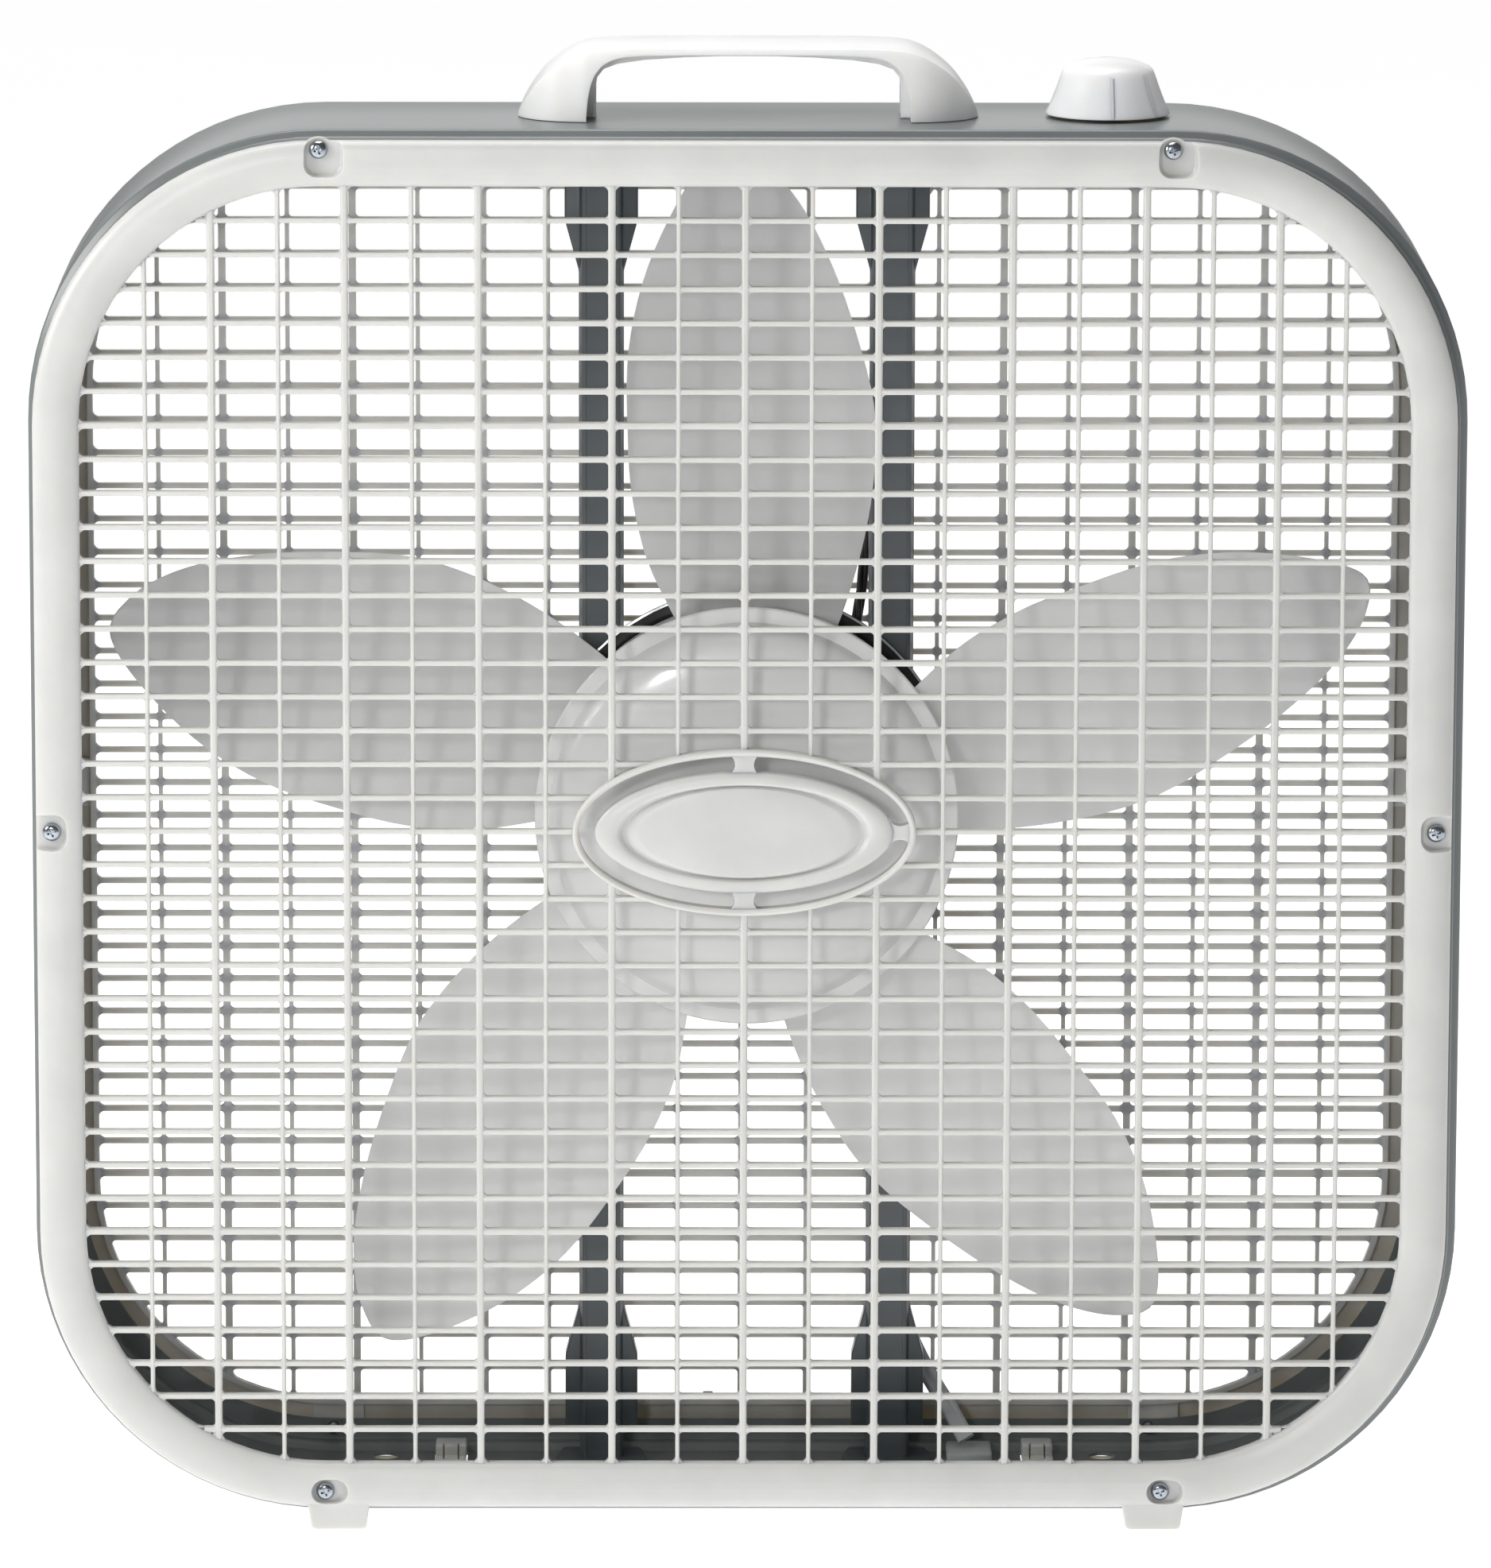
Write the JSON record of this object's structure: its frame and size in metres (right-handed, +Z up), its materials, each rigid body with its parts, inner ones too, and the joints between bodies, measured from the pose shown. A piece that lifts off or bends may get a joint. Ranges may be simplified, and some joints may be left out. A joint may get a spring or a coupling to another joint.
{
  "type": "box fan",
  "caption": "Portable box fan: sheet-metal wrapper, moulded front and rear grilles, bladed rotor on a motor, carry handle and speed knob.",
  "frame": {"origin": "on the floor under the middle of the wrapper, halfway through its depth", "axes": "+X to the right seen from the front, +Y towards the back of the fan, +Z up; the front faces -Y"},
  "size_m": [0.5496, 0.184, 0.5745],
  "materials": {
    "casing_paint": "glossy baked enamel",
    "white_plastic": "semi-gloss moulded",
    "fan_plastic": "translucent moulded polypropylene",
    "strut_paint": "satin dark slate enamel",
    "zinc": "bright zinc plating",
    "bright_steel": "bright drawn steel",
    "black_steel": "black enamel",
    "lamination": "stacked electrical steel",
    "copper": "varnished copper wire",
    "bronze": "sintered bronze",
    "black_plastic": "moulded",
    "black_wire": "PVC sleeve",
    "grey_cord": "flexible grey PVC"
  },
  "bodies": {
    "housing": {"casing": "casing_paint", "cord_grommet": "grey_cord", "cord_hank": "grey_cord", "front_bearing": "bronze", "front_grille": "white_plastic", "front_screw_1": "zinc", "front_screw_2": "zinc", "front_screw_3": "zinc", "front_screw_4": "zinc", "front_screw_5": "zinc", "front_screw_6": "zinc", "front_winding": "copper", "handle": "white_plastic", "inner_lead": "grey_cord", "left_strut": "strut_paint", "motor_front_cover": "bright_steel", "motor_lead": "black_wire", "motor_plate": "black_steel", "motor_rear_cover": "bright_steel", "motor_screw_1": "zinc", "motor_screw_2": "zinc", "motor_screw_3": "zinc", "motor_screw_4": "zinc", "plug": "grey_cord", "rear_bearing": "bronze", "rear_grille": "white_plastic", "rear_screw_1": "zinc", "rear_screw_2": "zinc", "rear_screw_3": "zinc", "rear_screw_4": "zinc", "rear_screw_5": "zinc", "rear_screw_6": "zinc", "rear_winding": "copper", "right_strut": "strut_paint", "stator_core": "lamination", "supply_cord": "grey_cord", "switch_body": "black_plastic", "switch_nut": "zinc"},
    "rotor": {"fan_blade": "fan_plastic", "hub_clip": "bright_steel", "motor_shaft": "bright_steel", "motor_rotor": "lamination"},
    "knob": {"speed_knob": "white_plastic", "switch_shaft": "zinc"}
  },
  "joints": [
    {"name": "blade_spin", "type": "hinge", "parent": "housing", "child": "rotor", "pos_m": [0, 0, 0.2755], "axis": [0, 1, 0], "continuous": true},
    {"name": "knob_turn", "type": "hinge", "parent": "housing", "child": "knob", "pos_m": [0.138, 0, 0.5455], "axis": [0, 0, -1], "range_deg": [0, 135]}
  ]
}
